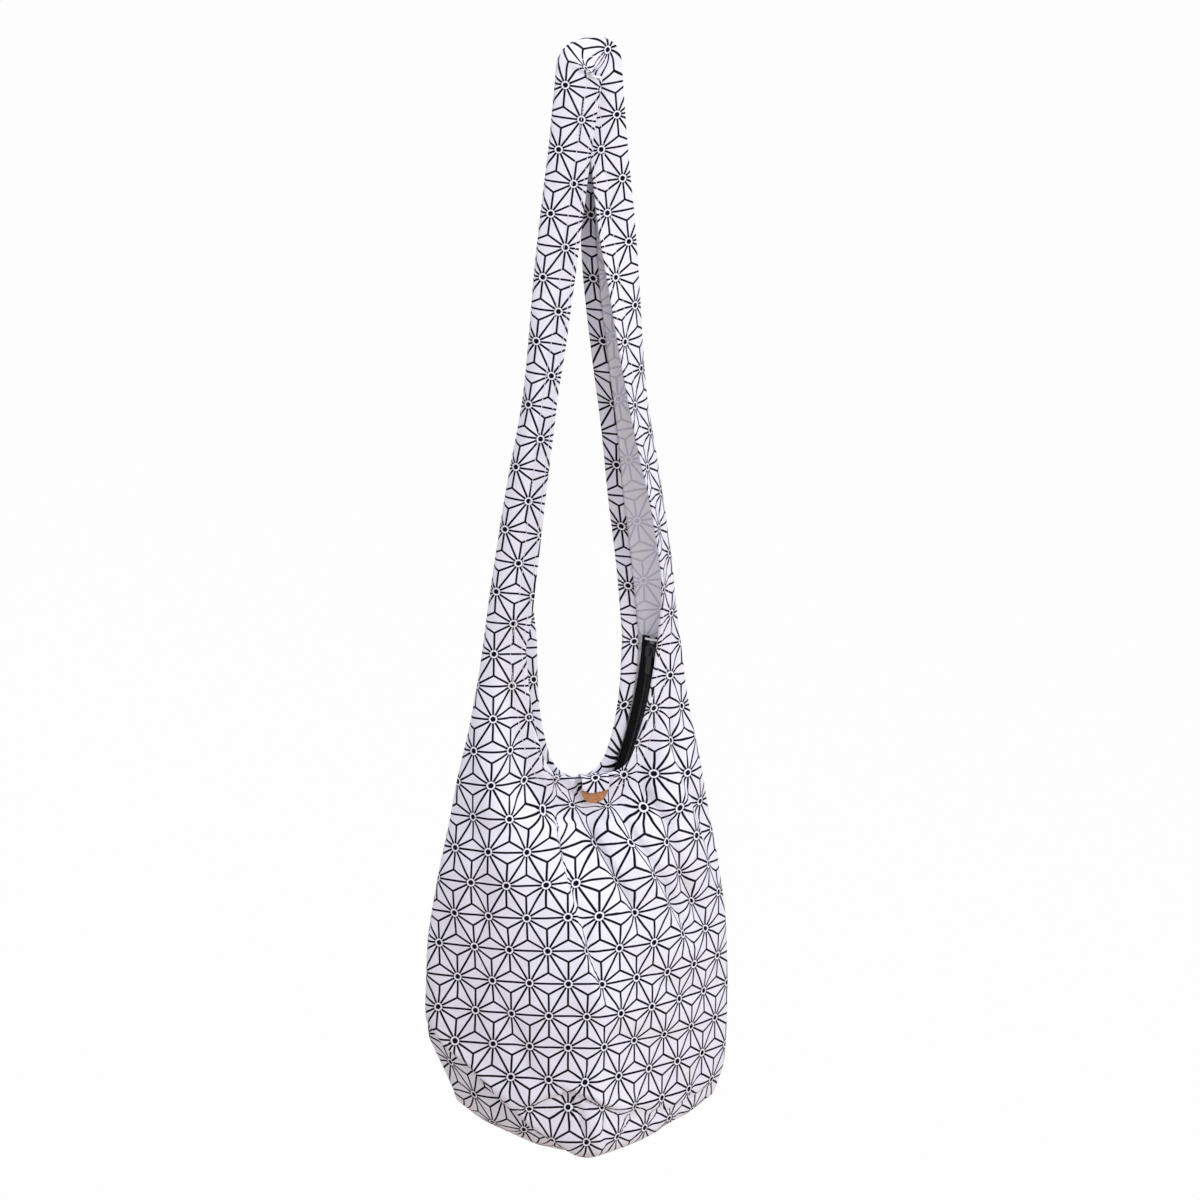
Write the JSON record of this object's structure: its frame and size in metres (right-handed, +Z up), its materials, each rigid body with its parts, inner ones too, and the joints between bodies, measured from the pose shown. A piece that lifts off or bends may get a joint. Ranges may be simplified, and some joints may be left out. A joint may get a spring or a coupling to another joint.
{
  "type": "shoulder bag",
  "caption": "Slouchy cotton shoulder bag with a wide one-piece strap, a zip across its U-shaped mouth and a round button on its front.",
  "frame": {"origin": "under the top of the strap loop, where its cloth bears on the hook or shoulder that the bag hangs from", "axes": "+Z up, -Y out of the front with the button, +X towards the strap leg that the zip's slider is at"},
  "size_m": [0.283, 0.1414, 1.0131],
  "materials": {
    "printed_cotton": "white cotton with a dark star lattice print",
    "facing_cotton": "the same printed cotton, cut in strips",
    "pocket_cotton": "plain white cotton",
    "zip_nylon": "black woven tape",
    "zip_coil": "black nylon coil",
    "enamel": "black enamel",
    "coconut_shell": "turned and waxed shell",
    "thread": "white sewing thread"
  },
  "bodies": {
    "bag": {"front_panel": "printed_cotton", "back_panel": "printed_cotton", "front_strap": "printed_cotton", "back_strap": "printed_cotton", "front_facing": "facing_cotton", "back_facing": "facing_cotton", "button_tab": "facing_cotton", "pocket_panel": "pocket_cotton", "zipper_tape_front": "zip_nylon", "zipper_tape_back": "zip_nylon", "zipper_coil_front": "zip_coil", "zipper_coil_back": "zip_coil", "zipper_tack_left": "thread", "zipper_tack_right": "thread", "button": "coconut_shell", "button_shank": "thread"},
    "slider": {"zipper_slider": "enamel"},
    "pull": {"pull_tab": "enamel"}
  },
  "joints": [
    {"name": "zip_slide", "type": "hinge", "parent": "bag", "child": "slider", "pos_m": [-0.39377, -0.002, -0.52043], "axis": [0, 1, 0], "range_deg": [0, 11], "deforming": ["zipper_coil_front", "zipper_coil_back"]},
    {"name": "pull_hinge", "type": "hinge", "parent": "slider", "child": "pull", "pos_m": [0.06196, -0.00528, -0.5577], "axis": [-0.7636, 0.6428, 0.0614], "range_deg": [0, 170]}
  ]
}
